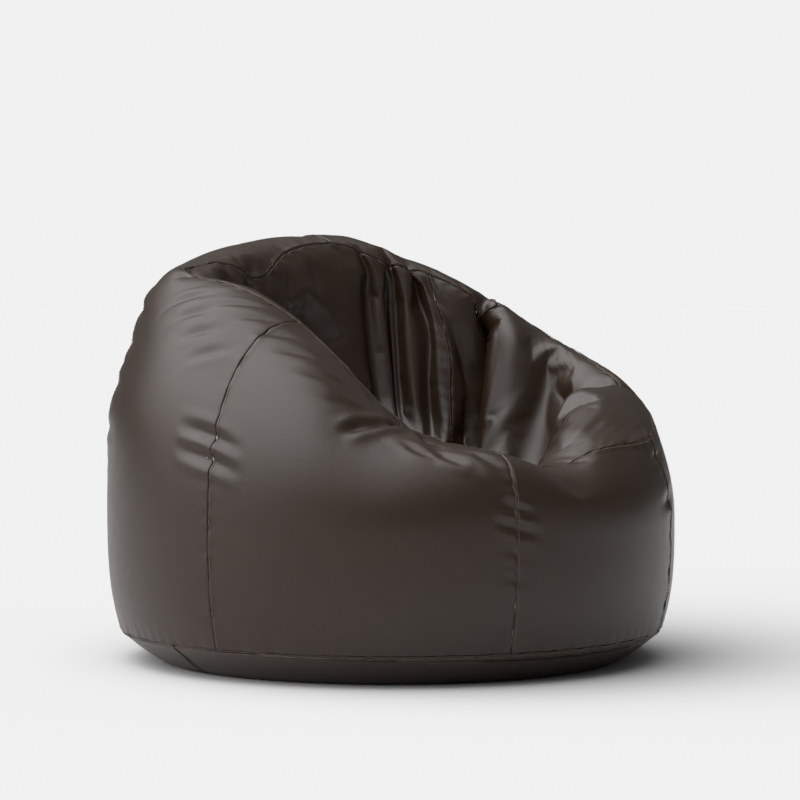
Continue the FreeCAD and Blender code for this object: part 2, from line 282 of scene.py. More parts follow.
def lay_rings():
    """The grid of points, ring by column, and each point's distance down from the crest."""
    points, crest = sections()
    steps = np.linalg.norm(np.diff(points, axis=0), axis=2)
    length = np.concatenate((np.zeros((1, COLUMNS)), np.cumsum(steps, axis=0)))
    seam = length[crest] + round_chair(SEAM_DROP, 0, azimuths)
    grid = np.zeros((RINGS + 1, COLUMNS, 3))
    down = np.full((RINGS + 1, COLUMNS), -1.0)
    for c in range(COLUMNS):
        wall = np.linspace(0, seam[c], CROWN_RING - BASE_RING + 1)
        bowl = np.linspace(seam[c], length[-1, c], RINGS - CROWN_RING + 1)
        at = np.concatenate((wall, bowl[1:]))
        for k in range(3):
            grid[BASE_RING:, c, k] = np.interp(at, length[:, c], points[:, c, k])
        down[BASE_RING:, c] = at - length[crest, c]
    flat = np.linspace(0, CONTACT_RADIUS, BASE_RING - FOOT_RINGS + 1)
    curve = np.linspace(0, 1, FOOT_RINGS + 1)[1:]
    radius = np.concatenate((flat, CONTACT_RADIUS + (HEM_RADIUS - CONTACT_RADIUS) * curve ** FOOT_OUT))
    height = np.concatenate((flat * 0, HEM_HEIGHT * curve ** FOOT_UP))
    grid[:BASE_RING + 1, :, :2] = radius[:, None, None] * outward
    grid[:BASE_RING + 1, :, 2] = height[:, None]
    return grid, down


grid, down = lay_rings()
print("bag height", round(float(grid[:, :, 2].max()), 3), "rings", RINGS, "columns", COLUMNS)

# %% [markdown]
# ## Folds
# The beads have sunk and the cover is too big for them, so the back and the arm have folded. Each fold is
# a crease that starts at the crest and runs down the inside. One side of it is steep, because the lobe
# beside it bulges over. The net's columns are first turned to run along the folds, so that each crease
# stays crisp.

# %% Fold tools


def ramp(x, start, end):
    t = np.clip((x - start) / (end - start), 0, 1)
    return t * t * (3 - 2 * t)


def turned(azimuth):
    """Degrees from an azimuth to every column."""
    return (azimuths[None, :] - azimuth + 180) % 360 - 180


def spacing(points):
    """Metres per degree round the chair, at every point."""
    step = np.roll(points, -1, axis=1) - np.roll(points, 1, axis=1)
    return np.linalg.norm(step, axis=2) / (2 * 360 / COLUMNS)


def normals(points):
    around = np.roll(points, -1, axis=1) - np.roll(points, 1, axis=1)
    along = np.gradient(points, axis=0)
    across = np.cross(around, along)
    size = np.linalg.norm(across, axis=2, keepdims=True)
    return across / np.maximum(size, 1e-9)


def blur(field, times):
    """Evens a field over the net; its rings close round, its ends stay."""
    for _ in range(times):
        across = (np.roll(field, 1, axis=1) + np.roll(field, -1, axis=1)) / 2
        along = field.copy()
        along[1:-1] = (field[2:] + field[:-2]) / 2
        field = field * 0.5 + (across + along) * 0.25
    return field


# azimuth of a fold at the crest: how far round it has moved lower down, over which distance, how wide
SWERVES = ((112, -4.0, (-0.06, 0.08), 10), (108, 2.5, (0.08, 0.30), 12), (57, -20.0, (0.0, 0.22), 26),
           (157, -8.0, (0.0, 0.10), 7), (144, -6.0, (0.0, 0.10), 7), (130, -9.0, (0.02, 0.20), 9))


def swerve(grid):
    """Turns the columns so that they follow the folds."""
    shift = np.zeros_like(down)
    for azimuth, move, (start, end), width in SWERVES:
        shift += move * ramp(down, start, end) * np.exp(-(turned(azimuth) / width) ** 2)
    source = (azimuths[None, :] + shift) / 360 * COLUMNS
    low = np.floor(source).astype(int)
    part = (source - low)[:, :, None]
    rows = np.arange(RINGS + 1)[:, None]
    return grid[rows, low % COLUMNS] * (1 - part) + grid[rows, (low + 1) % COLUMNS] * part


grid = swerve(grid)


def beside(azimuth):
    """Distance of every point from a column, positive towards higher azimuths."""
    return turned(azimuth) * spacing(grid)


def sharp(x, below, above):
    """A crease with a sharp bottom: how fast it closes on each side."""
    return np.where(x < 0, np.exp(np.minimum(x, 0) / below), np.exp(-np.maximum(x, 0) / above))


def reach(start, full, stop, fade):
    return ramp(down, start, full) * (1 - ramp(down, stop, stop + fade))


def opening(deepest, at_crest, slope):
    """The depth of a fold: little at the crest, growing down the inside until it is deepest."""
    return np.minimum(deepest, at_crest + slope * np.maximum(down, 0)) * ramp(down, -0.05, 0.01)


# the two folds. Azimuth; deepest, depth at the crest, slope; how fast the sides close; where it ends
FOLDS = ((110, (0.090, 0.010, 1.20), (0.0045, 0.030), (0.36, 0.46)),
         (60, (0.060, 0.012, 0.95), (0.020, 0.012), (0.26, 0.36)))
# the lobes beside them. Azimuth, height, half width; where it starts, is full, and fades out
LOBES = ((100, 0.028, 0.042, (0.0, 0.08, 0.30, 0.12)), (47, 0.020, 0.035, (0.0, 0.05, 0.22, 0.10)),
         (72, 0.008, 0.050, (0.0, 0.07, 0.22, 0.10)))
# the three pleats below the crown seam. Azimuth, depth, half width
PLEATS = ((160, 0.017, 0.017), (149, 0.026, 0.015), (138, 0.020, 0.012))

fold = sum(opening(*depths) * sharp(beside(azimuth), *sides) * (1 - ramp(down, *end))
           for azimuth, depths, sides, end in FOLDS)
swell = sum(high * np.exp(-(beside(azimuth) / half) ** 2) * reach(*along)
            for azimuth, high, half, along in LOBES)
for azimuth, depth, half in PLEATS:
    narrow = half * (0.5 + 0.5 * ramp(down, 0.02, 0.14))
    fold += depth * np.exp(-(beside(azimuth) / narrow) ** 2) * reach(0.020, 0.13, 0.30, 0.10)


def spot(field, middle, half, azimuth, width):
    """1 at one azimuth where the field has its middle value, fading out on all sides."""
    return np.exp(-((field - middle) / half) ** 2 - (turned(azimuth) / width) ** 2)


def crisp(field, azimuth, width):
    """A sharp ridge along the line where the field is 0, strongest at one azimuth."""
    return np.exp(-np.abs(field) / 0.016) * np.exp(-(turned(azimuth) / width) ** 2)


# the pinch where the flank's rim runs into the front lip
fold += 0.020 * sharp(down - 0.006, 0.006, 0.014) * np.exp(-(turned(-36) / 2.6) ** 2)
fold += 0.009 * spot(down, -0.030, 0.012, -38.5, 2.0)
fold += 0.009 * spot(down, -0.034, 0.014, -31.5, 2.2)
# the tuck behind the ear, the corner of the rim at the left
fold += 0.014 * spot(down, 0.024, 0.012, -117, 11)
# the left wall stands out fuller than the rest; the seam on the right arm and the ear stand up crisply
swell += 0.009 * spot(grid[:, :, 2], 0.40, 0.07, -130, 26) * (down < 0)
swell += 0.007 * crisp(down - round_chair(SEAM_DROP, 0, azimuths), 34, 22)
swell += 0.006 * crisp(down, -124, 7)

# %% Small wrinkles
# A fan of wrinkles: where the first one starts (azimuth, and distance down inside the crest, which is
# negative on the outside), how far on the next one is, how far each one runs, how many there are, their
# depth, and half their width.
FANS = (
    ((-108, -0.08), (6, -0.03), (8, 0.03), 4, 0.0040, 0.008),      # on the left shoulder
    ((-95, -0.065), (8, -0.010), (10, 0.045), 6, 0.0027, 0.007),   # under the near rim
    ((-85, -0.28), (0, -0.035), (13, 0.0), 2, 0.0070, 0.010),      # across the left front seam
    ((-50, -0.15), (4.5, 0.045), (4.5, 0.045), 3, 0.0065, 0.007),  # into the pinch at the rim's near end
    ((-38, -0.10), (7, 0.01), (7, 0.0), 2, 0.0035, 0.009),         # beside the pinch
    ((-23, -0.06), (2, -0.02), (6, -0.015), 3, 0.0035, 0.008),     # at the top of the right front seam
    ((-19, -0.14), (0, -0.03), (7, 0.0), 2, 0.0028, 0.008),        # lower down the same seam
    ((15, -0.03), (3, -0.02), (15, -0.02), 4, 0.0043, 0.008),      # along the right arm
    ((30, -0.15), (0, -0.07), (9, -0.01), 2, 0.0032, 0.010),       # across the corner seam
    ((70, -0.06), (8, 0.0), (9, -0.05), 2, 0.0040, 0.010),         # on the right side
    ((102, -0.06), (1, -0.08), (11, -0.03), 3, 0.0045, 0.010),     # across the right back seam
    ((161, -0.05), (1, -0.06), (11, -0.03), 2, 0.0042, 0.010),     # across the middle back seam
    ((-148, -0.06), (9, -0.04), (15, 0.0), 2, 0.0045, 0.010),      # across the left back seam
    ((-136, -0.16), (0, -0.07), (16, 0.01), 3, 0.0030, 0.011),     # down the left wall
)


def wrinkle(azimuth, start, last_azimuth, stop, depth, half):
    """One wrinkle: a valley with a low ridge on both sides, fading at its ends."""
    wide = spacing(grid)
    x, y = turned(azimuth) * wide, down - start
    run_x, run_y = (last_azimuth - azimuth) * wide, stop - start
    length = np.maximum(np.hypot(run_x, run_y), 1e-6)
    share = (x * run_x + y * run_y) / length ** 2
    aside = (x * run_y - y * run_x) / length
    past = np.maximum(np.maximum(-share, share - 1), 0) * length
    taper = np.exp(-(past / (1.5 * half)) ** 2) * (0.35 + 0.65 * np.sin(np.clip(share, 0, 1) * math.pi))
    ridges = np.exp(-((np.abs(aside) - 2 * half) / half) ** 2)
    return depth * taper * (np.exp(-(aside / half) ** 2) - 0.4 * ridges)


def fan(first, step, run, count, depth, half):
    """Wrinkles side by side, evenly spaced."""
    starts = [(first[0] + n * step[0], first[1] + n * step[1]) for n in range(count)]
    return sum(wrinkle(a, d, a + run[0], d + run[1], depth, half) for a, d in starts)


fold += sum(fan(*row) for row in FANS)
print("small wrinkles:", sum(row[3] for row in FANS))

# %% Press the folds in
inward = -normals(blur(grid, 25))
inward[:3], inward[-3:] = (0, 0, 1), (0, 0, -1)
grid = grid + inward * (fold - swell)[:, :, None]
grid[BASE_RING:, :, 2] = np.maximum(grid[BASE_RING:, :, 2], HEM_HEIGHT)

# %% [markdown]
# ## From a ball to the bag
# A ball's grid of rings and columns is the right net for the bag: its south pole is the middle of the base
# and its north pole is the bottom of the seat. Only the points move. A cloth simulation on every second
# ring and column adds more small wrinkles: its cover is up to 4 percent too big inside the seat and along
# the rim, and it is blown up from inside. Only the fine part of that motion is kept, so the bag keeps its
# size and shape.

# %% The bag's net


def ball(columns, rings):
    """A ball's mesh, with the ring and column of each point."""
    mesh = bmesh.new()
    bmesh.ops.create_uvsphere(mesh, u_segments=columns, v_segments=rings, radius=1.0)
    points = np.array([v.co[:] for v in mesh.verts])
    ring = np.rint((np.degrees(np.arcsin(np.clip(points[:, 2], -1, 1))) + 90) / 180 * rings).astype(int)
    column = np.degrees(np.arctan2(points[:, 0], -points[:, 1])) % 360 * columns / 360
    return mesh, ring, np.rint(column).astype(int) % columns


def bag_mesh(points):
    mesh, ring, column = ball(points.shape[1], points.shape[0] - 1)
    for v, place in zip(mesh.verts, points[ring, column]):
        v.co = place
    bmesh.ops.recalc_face_normals(mesh, faces=mesh.faces)
    return mesh, ring, column


def make_object(name, mesh, material=None):
    data = bpy.data.meshes.new(name)
    mesh.to_mesh(data)
    mesh.free()
    if material:
        data.materials.append(material)
    data.shade_smooth()
    made = bpy.data.objects.new(name, data)
    bpy.context.scene.collection.objects.link(made)
    return made


# %% Wrinkles by cloth simulation
COARSE = 2                  # the simulated net has every second ring and column
FRAMES = 22
MOST_MOVE = 0.012


def loose_share():
    """How much too big the cover is, as a share of the most: much in the seat, less along the rim."""
    near_rim = np.exp(-(np.abs(down + 0.05) / 0.10) ** 2)
    flank = np.exp(-(turned(-62) / 45) ** 2)
    arm = np.exp(-(turned(38) / 22) ** 2)
    inside = ramp(down, 0.02, 0.10) * (0.5 - 0.4 * np.exp(-(turned(58) / 26) ** 2))
    share = near_rim * (0.10 + 0.30 * np.maximum(flank, arm)) + inside
    return np.clip(share, 0, 1)[::COARSE, ::COARSE]


def simulate(points, loose):
    mesh, ring, column = bag_mesh(points)
    bag = make_object("cloth_bag", mesh)
    grow, hold = bag.vertex_groups.new(name="grow"), bag.vertex_groups.new(name="hold")
    height = points[ring, column][:, 2]
    for i, share in enumerate(loose[ring, column]):
        grow.add([i], 1 - float(share), "REPLACE")
    held = [int(i) for i in np.nonzero((height < 0.03) | (ring >= points.shape[0] - 8))[0]]
    hold.add(held, 1.0, "REPLACE")
    cloth = bag.modifiers.new("cloth", "CLOTH")
    cloth.settings.quality = 6
    cloth.settings.mass = 0.4
    cloth.settings.tension_stiffness = cloth.settings.compression_stiffness = 40
    cloth.settings.shear_stiffness = 20
    cloth.settings.bending_stiffness = 1.5
    cloth.settings.vertex_group_mass = "hold"
    cloth.settings.vertex_group_shrink = "grow"
    cloth.settings.shrink_min, cloth.settings.shrink_max = -0.07, 0.0
    cloth.settings.use_pressure = True
    cloth.settings.uniform_pressure_force = 3.0
    cloth.settings.effector_weights.gravity = 0
    cloth.collision_settings.use_collision = False
    cloth.point_cache.frame_end = FRAMES
    for number in range(1, FRAMES + 1):
        bpy.context.scene.frame_set(number)
    shaped = bag.evaluated_get(bpy.context.evaluated_depsgraph_get()).to_mesh()
    found = np.empty(len(shaped.vertices) * 3)
    shaped.vertices.foreach_get("co", found)
    moved = np.zeros_like(points)
    moved[ring, column] = found.reshape(-1, 3)
    bpy.data.objects.remove(bag)
    bpy.context.scene.frame_set(1)
    return moved - points


def refine(field):
    """A coarse field on the full net."""
    out = np.repeat(np.repeat(field, COARSE, axis=0), COARSE, axis=1)[:RINGS + 1]
    out[1::2] = (out[:-1:2] + out[2::2]) / 2
    out[:, 1::2] = (out[:, ::2] + np.roll(out[:, ::2], -1, axis=1)) / 2
    return out


def wrinkles():
    points = grid[::COARSE, ::COARSE]
    move = simulate(points, loose_share())
    move[0] = move[-1] = 0
    move -= blur(move, 60)
    move *= ramp(points[:, :, 2], 0.12, 0.24)[:, :, None]
    size = np.linalg.norm(move, axis=2, keepdims=True)
    print("wrinkles move points by up to", round(float(size.max()), 4), "mean", round(float(size.mean()), 5))
    move *= np.minimum(1, MOST_MOVE / np.maximum(size, 1e-9))
    return refine(move)


grid = grid + wrinkles()

# %% [markdown]
# ## Materials
# Each material is made of nodes. Patterns read Object coordinates in metres, so a grain that repeats
# every 2 mm is given a scale of 500. Bumps are given in metres too.

# %% Leather


def finish(shop, **inputs):
    coat = shop.node("ShaderNodeBsdfPrincipled", None, inputs)
    shop.node("ShaderNodeOutputMaterial", None, {"Surface": coat})


def begin(name):
    """A new material with its node shop and its Object coordinates."""
    made = bpy.data.materials.new(name)
    made.use_nodes = True
    shop = Shop(made.node_tree)
    return made, shop, shop.node("ShaderNodeTexCoord", out="Object")


def noise(shop, place, scale, detail=3.0, rough=0.5):
    return shop.node("ShaderNodeTexNoise", None, {"Vector": place, "Scale": scale, "Detail": detail,
                                                  "Roughness": rough}, out="Fac")


def bump(shop, height, metres, strength=1.0):
    return shop.node("ShaderNodeBump", None, {"Height": height, "Distance": metres, "Strength": strength},
                     out="Normal")


def blend(shop, share, first, second):
    """A colour between two colours."""
    return shop.node("ShaderNodeMix", {"data_type": "RGBA"}, {0: share, 6: first, 7: second}, out=2)


def leather_material():
    """Dark chocolate leather: a fine pebble grain, soft cloudy tone, a satin finish with dull patches."""
    made, shop, place = begin("chocolate_leather")
    cells = shop.node("ShaderNodeTexVoronoi", {"feature": "SMOOTH_F1"},
                      {"Vector": place, "Scale": 620.0, "Smoothness": 0.6}, out="Distance")
    pores = noise(shop, place, 1500.0, 2.0)
    broad = noise(shop, place, 6.0, 3.0)
    patch = noise(shop, place, 40.0, 4.0, 0.6)
    creases = noise(shop, place, 130.0, 5.0, 0.65)
    grain = cells * 0.7 + pores * 0.3 + creases * 1.1
    tone = (broad * 0.7 + patch * 0.5 - 0.35).clip()
    brown = blend(shop, tone, (0.0205, 0.0104, 0.0048, 1), (0.0340, 0.0182, 0.0090, 1))
    rough = 0.27 + patch * 0.10 + creases * 0.06
    finish(shop, **{"Base Color": brown, "Roughness": rough, "Specular IOR Level": 0.50,
                    "Normal": bump(shop, grain, 0.00032, 0.55)})
    return made


def thread_material():
    """Thick polyester thread, a little lighter than the leather."""
    made, shop, place = begin("tan_thread")
    twist = noise(shop, place, 900.0, 2.0)
    brown = blend(shop, twist, (0.085, 0.042, 0.022, 1), (0.165, 0.088, 0.048, 1))
    finish(shop, **{"Base Color": brown, "Roughness": 0.55, "Normal": bump(shop, twist, 0.0003, 0.6)})
    return made


def weave(shop, place, pitch):
    """Threads over and under each other, from 0 in the gaps to 1 on the threads."""
    along = shop.node("ShaderNodeSeparateXYZ", None, {"Vector": place}, out="X")
    across = Value(shop, along.socket.node.outputs["Y"])
    turn = 2 * math.pi / pitch

    def wave(value):
        return shop.node("ShaderNodeMath", {"operation": "SINE"}, {0: value * turn})

    return wave(along) * wave(across) * 0.5 + 0.5


def cloth_material(name, dark, light, pitch):
    made, shop, place = begin(name)
    threads = weave(shop, place, pitch)
    cloud = noise(shop, place, 30.0, 3.0)
    colour = blend(shop, (threads * 0.6 + cloud * 0.4).clip(), dark, light)
    finish(shop, **{"Base Color": colour, "Roughness": 0.85, "Specular IOR Level": 0.25,
                    "Normal": bump(shop, threads, pitch * 0.25, 0.8)})
    return made


def bead_material():
    """Expanded polystyrene beads pressed together: round bumps of 4 to 6 mm, with painted shade towards
    their edges.
    """
    made, shop, place = begin("polystyrene_beads")
    ball = shop.node("ShaderNodeTexVoronoi", None, {"Vector": place, "Scale": 190.0}, out="Distance")
    # each bead's bump; its colour follows it as painted shade, darkening towards the edge where the beads
    # meet
    bead_bump_and_shade = 1 - ball * ball * 1.6
    # painted shade: each bead is pale in its middle and darker grey at its edge
    painted_bead_shade = blend(shop, bead_bump_and_shade.clip(), (0.42, 0.42, 0.41, 1), (0.86, 0.86, 0.85, 1))
    finish(shop, **{"Base Color": painted_bead_shade, "Roughness": 0.6, "Normal": bump(shop, bead_bump_and_shade, 0.0022, 1.0)})
    return made


def nylon_material(name, dark, light):
    made, shop, place = begin(name)
    fuzz = noise(shop, place, 1200.0, 2.0)
    finish(shop, **{"Base Color": blend(shop, fuzz, dark, light), "Roughness": 0.42,
                    "Normal": bump(shop, fuzz, 0.0001, 0.5)})
    return made


def metal_material(name, dull, bright, rough):
    made, shop, place = begin(name)
    wear = noise(shop, place, 160.0, 4.0, 0.7)
    scratches = noise(shop, place, 700.0, 2.0)
    finish(shop, **{"Base Color": blend(shop, wear, dull, bright), "Metallic": 1.0,
                    "Roughness": rough + wear * 0.16, "Normal": bump(shop, scratches, 0.00006, 0.5)})
    return made


LOOKS = {
    "chocolate_leather": leather_material(),
    "tan_thread": thread_material(),
    "liner_cloth": cloth_material("liner_cloth", (0.30, 0.29, 0.27, 1), (0.58, 0.57, 0.54, 1), 0.0011),
    "polystyrene_beads": bead_material(),
    "brown_tape": cloth_material("brown_tape", (0.016, 0.010, 0.007, 1), (0.060, 0.038, 0.026, 1), 0.0009),
    "brown_coil": nylon_material("brown_coil", (0.022, 0.013, 0.009, 1), (0.050, 0.030, 0.021, 1)),
    "liner_tape": cloth_material("liner_tape", (0.34, 0.33, 0.31, 1), (0.62, 0.61, 0.58, 1), 0.0009),
    "liner_coil": nylon_material("liner_coil", (0.42, 0.41, 0.39, 1), (0.60, 0.59, 0.56, 1)),
    "zip_metal": metal_material("zip_metal", (0.20, 0.17, 0.13, 1), (0.46, 0.40, 0.32, 1), 0.26),
    "stop_metal": metal_material("stop_metal", (0.34, 0.33, 0.31, 1), (0.62, 0.61, 0.58, 1), 0.30),
}
print("materials:", ", ".join(LOOKS))

# %% [markdown]
# ## Panels
# The cover is sewn from panels. Each one is a net of its own over its part of the bag, with extra rows
# close to its edges. There the leather turns down into the seam, and the sewing gathers it into small
# puckers. On the side that is topstitched, the seam allowance underneath lifts it a little.

# %% Panel tools
GORE_SEAMS = (-77, -16, 35, 108, 166, 230)
CROWN_SEAM = 130
LEATHER = 0.002
STITCH_OFFSET = 0.0045
TURNED_IN, ALLOWANCE, GATHER = 0.0024, 0.0005, 0.0010
BORDER = (0.0003, 0.0009, 0.0016, 0.0026, 0.0040, 0.0056, 0.0076, 0.0100, 0.0135)


def at(field, ring, column):
    """The field between its points, by smooth cubic pieces; columns go round, rings stop at the ends."""
    i, j = np.floor(ring).astype(int), np.floor(column).astype(int)
    u, v = (ring - i)[..., None], (column - j)[..., None]

    def weights(t):
        return ((-t ** 3 + 2 * t ** 2 - t) / 2, (3 * t ** 3 - 5 * t ** 2 + 2) / 2,
                (-3 * t ** 3 + 4 * t ** 2 + t) / 2, (t ** 3 - t ** 2) / 2)

    total = 0
    for m, a in enumerate(weights(u)):
        row = np.clip(i + m - 1, 0, field.shape[0] - 1)
        for n, b in enumerate(weights(v)):
            total = total + a * b * field[row, (j + n - 1) % field.shape[1]]
    return total


def steps_between(length, count):
    """Distances across a panel: closer together near both edges."""
    edge = np.array(BORDER)
    edge = edge * min(1.0, 0.22 * length / edge[-1])
    middle = np.linspace(edge[-1], length - edge[-1], count + 2)[1:-1]
    return np.concatenate((edge, middle, length - edge[::-1]))


def facing(points):
    """Unit normals of a net that doesn't close round."""
    rows, columns = np.gradient(points, axis=0), np.gradient(points, axis=1)
    across = np.cross(columns, rows)
    return across / np.maximum(np.linalg.norm(across, axis=2, keepdims=True), 1e-12)


def edge_height(distance, along, stitched):
    """How far the leather stands off the bag's surface near a seam."""
    turned_in = -TURNED_IN * np.exp(-distance / 0.0010)
    allowance = ALLOWANCE * (1 - ramp(distance, 0.0065, 0.0105)) * stitched
    puckers = np.sin(along * 170) * np.sin(along * 61 + 1.3) + 0.5 * np.sin(along * 97 + 0.4)
    return turned_in + allowance + GATHER * puckers * np.exp(-distance / 0.013)


def walked_along(line):
    """Distance from the first point of a line to every point, along the line."""
    return np.concatenate(([0], np.cumsum(np.linalg.norm(np.diff(line, axis=0), axis=1))))


def net_mesh(points, weld=0.0):
    """A mesh over a net of points: a flat grid whose corners are moved to the points."""
    rows, columns = points.shape[:2]
    mesh = bmesh.new()
    bmesh.ops.create_grid(mesh, x_segments=columns - 1, y_segments=rows - 1, size=1.0)
    flat = np.array([v.co[:2] for v in mesh.verts])
    column = np.rint((flat[:, 0] + 1) / 2 * (columns - 1)).astype(int)
    row = np.rint((flat[:, 1] + 1) / 2 * (rows - 1)).astype(int)
    for v, place in zip(mesh.verts, points[row, column]):
        v.co = place
    if weld:
        bmesh.ops.remove_doubles(mesh, verts=mesh.verts, dist=weld)
    return mesh


def add_piece(name, points, look, wall=0.0, nodes=(), weld=0.0):
    """A finished piece: its mesh, its wall and its material; the designed parts it replaces are hidden."""
    piece = make_object(name, net_mesh(points, weld), LOOKS[look])
    if wall:
        solid = piece.modifiers.new("wall", "SOLIDIFY")
        solid.thickness, solid.offset = wall, -1.0
    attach(piece, "bag")
    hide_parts(*nodes)
    return piece


def column_of(azimuth):
    return azimuth / 360 * COLUMNS


def across_row(field, ring, first, last, count):
    """Columns from one seam to the next along one ring, and their distances from both seams."""
    fine = np.linspace(first, last, 3 * int(last - first) + 1)
    walked = walked_along(at(field, np.full(len(fine), float(ring)), fine))
    steps = steps_between(walked[-1], count)
    return np.interp(steps, walked, fine), steps, walked[-1] - steps


def panel_net(field, first_ring, last_ring, first, last):
    """Net of a panel between two rings and two columns, with its distances to its four edges."""
    count = int((last - first) * 0.9)
    middle = np.full(60, (first + last) / 2)
    line = at(field, np.linspace(first_ring, last_ring, 60), middle)
    tall = np.linalg.norm(np.diff(line, axis=0), axis=1).sum()
    up = steps_between(tall, int((last_ring - first_ring) * 0.95))
    rings = first_ring + (last_ring - first_ring) * up / tall
    rows = [across_row(field, ring, first, last, count) for ring in rings]
    columns, left, right = (np.array([row[k] for row in rows]) for k in range(3))
    points = at(field, rings[:, None] + 0 * columns, columns)
    return points, up[:, None] + 0 * left, tall - up[:, None] + 0 * left, left, right


# %% Side panels
skin = grid.copy()


def lifted(points, *edges):
    """Points moved along their normals; edges are (distance, along, stitched)."""
    height = sum(edge_height(*edge) for edge in edges)
    return points + facing(points) * height[:, :, None]


def side_panel(number):
    first, last = GORE_SEAMS[number], (GORE_SEAMS + (GORE_SEAMS[0] + 360,))[number + 1]
    net = panel_net(skin, BASE_RING, CROWN_RING, column_of(first), column_of(last))
    points, low, high, left, right = net
    points = lifted(points, (low, left, 0), (high, left, 1), (left, low, 1), (right, low, 0))
    name = f"side_panel_{number + 1}"
    return add_piece(name + "_leather", points, "chocolate_leather", LEATHER, [name])


sides = [side_panel(number) for number in range(6)]
print("side panels:", [len(piece.data.polygons) for piece in sides])

# %% Crown panels


def crown_panel(name, first):
    net = panel_net(skin, CROWN_RING, RINGS - 0.4, column_of(first), column_of(first + 180))
    points, low, _, left, right = net
    points = lifted(points, (low, left, 0), (left, low, name == "right"), (right, low, name == "left"))
    return add_piece(f"crown_{name}_leather", points, "chocolate_leather", LEATHER,
                     [f"crown_panel_{name}"])


crowns = [crown_panel("left", CROWN_SEAM), crown_panel("right", CROWN_SEAM + 180)]
print("crown panels:", [len(piece.data.polygons) for piece in crowns])

# %% [markdown]
# ## Base
# The base is two half discs with the zip between them. They curve up to the base seam, and a long
# shallow recess keeps the zip off the floor.

# %% Base panels
# half width, half length, height of its roof, width of its ramps
COVER_RECESS = (0.014, 0.318, 0.012, 0.022)
LINER_RECESS = (0.018, 0.322, 0.024, 0.028)
BEAD_RECESS = (0.022, 0.326, 0.031, 0.032)


def foot(radius):
    """Height of the bag's underside at a distance from its middle."""
    share = np.clip((radius - CONTACT_RADIUS) / (HEM_RADIUS - CONTACT_RADIUS), 0, 1.3)
    return HEM_HEIGHT * share ** (FOOT_UP / FOOT_OUT)


def recess(x, y, size):
    half_width, half_length, roof, slope = size
    return (roof * (1 - ramp(np.abs(y), half_width, half_width + slope))
            * (1 - ramp(np.abs(x), half_length, half_length + slope)))


def base_net(side, radius, slot, slot_end, size, depth):
    """A half disc: strips across it from the zip to the rim."""
    turn = np.radians(np.linspace(179.6, 0.4, 250))
    x = radius * np.cos(turn)
    rim = radius * np.sin(turn)
    middle = slot * (1 - ramp(np.abs(x), slot_end, slot_end + 0.004)) + 0.0003
    rows = steps_between(1.0, 74)
    rows = np.concatenate((np.array(BORDER) / 0.44, rows[len(BORDER):-len(BORDER)],
                           1 - np.array(BORDER[::-1]) / 0.44))
    y = np.minimum(middle, rim * 0.5) + (rim - np.minimum(middle, rim * 0.5)) * rows[:, None]
    x = x + 0 * y
    z = np.maximum(foot(np.hypot(x, y) + depth), 0) + recess(x, y, size) + depth
    points = np.stack([x, side * y, z], axis=2)
    if side > 0:
        points = points[:, ::-1]
    return points, y - middle, radius - np.hypot(x, y)


def base_panel(name, side):
    points, from_zip, from_rim = base_net(side, HEM_RADIUS, 0.008, 0.309, COVER_RECESS, 0.0)
    if side > 0:
        from_zip, from_rim = from_zip[:, ::-1], from_rim[:, ::-1]
    height = edge_height(from_zip, points[:, :, 0], 0) + edge_height(from_rim, points[:, :, 0], 1)
    on_floor = points[:, :, 2] < 0.003
    height = np.where(on_floor & (height > 0), 0, height)
    points = points + facing(points) * height[:, :, None]
    points[:, :, 2] = np.maximum(points[:, :, 2], 0)
    return add_piece(f"base_{name}_leather", points, "chocolate_leather", LEATHER,
                     [f"base_panel_{name}"])


bases = [base_panel("front", -1), base_panel("rear", 1)]
facing_down = [round(sum(f.normal.z * f.area for f in b.data.polygons), 3) for b in bases]
print("base normals point down:", facing_down)

# %% [markdown]
# ## Stitches
# Each seam has a row of topstitches beside it. A stitch is a short piece of thread on the leather, drawn
# as a small block whose edges are rounded off.

# %% Rows of stitches
PITCH, STITCH, THREAD = 0.0056, 0.0044, 0.00050
STUB = Matrix.Diagonal((1.85, 1.8, 1.8, 1))     # a block's size, in half stitches and in threads
RING_SAMPLES, RING_LIFT = 2400, 0.0007


def stitch_row(mesh, points, out):
    """Stitches along a line of points, lying on the surface whose normals are given."""
    walked = walked_along(points)
    places = np.arange(PITCH / 2, walked[-1], PITCH)

    def between(values, where):
        return np.stack([np.interp(where, walked, values[:, k]) for k in range(3)], axis=1)

    starts, ends = between(points, places - STITCH / 2), between(points, places + STITCH / 2)
    for a, b, n in zip(starts, ends, between(out, places)):
        along = Vector(b - a).normalized()
        out_way = Vector(n).normalized()
        side = along.cross(out_way).normalized()
        out_way = side.cross(along)
        turn = Matrix((along, side, out_way)).transposed().to_4x4()
        place = Matrix.Translation(Vector((a + b) / 2) + out_way * THREAD * 0.45)
        size = Matrix.Diagonal((STITCH / 2, THREAD, THREAD, 1))
        bmesh.ops.create_cube(mesh, size=1.0, matrix=place @ turn @ size @ STUB)
    return len(places)


def finish_stitches(name, rows):
    """One object for a seam's stitches: each block is rounded off."""
    mesh = bmesh.new()
    count = sum(stitch_row(mesh, points, out) for points, out in rows)
    bmesh.ops.bevel(mesh, geom=mesh.edges[:], offset=THREAD * 0.5, segments=1, profile=0.5,
                    affect="EDGES", material=-1)
    piece = make_object(name + "_stitches", mesh, LOOKS["tan_thread"])
    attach(piece, "bag")
    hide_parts(name)
    return count


skin_normals = normals(skin)


def column_beside(ring, column, distance):
    """The column a distance away from another one along the ring."""
    step = np.linalg.norm(at(skin, ring, column + 1) - at(skin, ring, column), axis=-1)
    return column + distance / step


def upright_row(azimuth, ring, offset):
    """A row beside an upright seam: points on the leather, and their normals."""
    column = column_beside(ring, np.full(len(ring), column_of(azimuth)), offset)
    line, out = at(skin, ring, column), at(skin_normals, ring, column)
    lift = edge_height(np.full(len(ring), STITCH_OFFSET), walked_along(line), 1)
    return line + out * lift[:, None], out


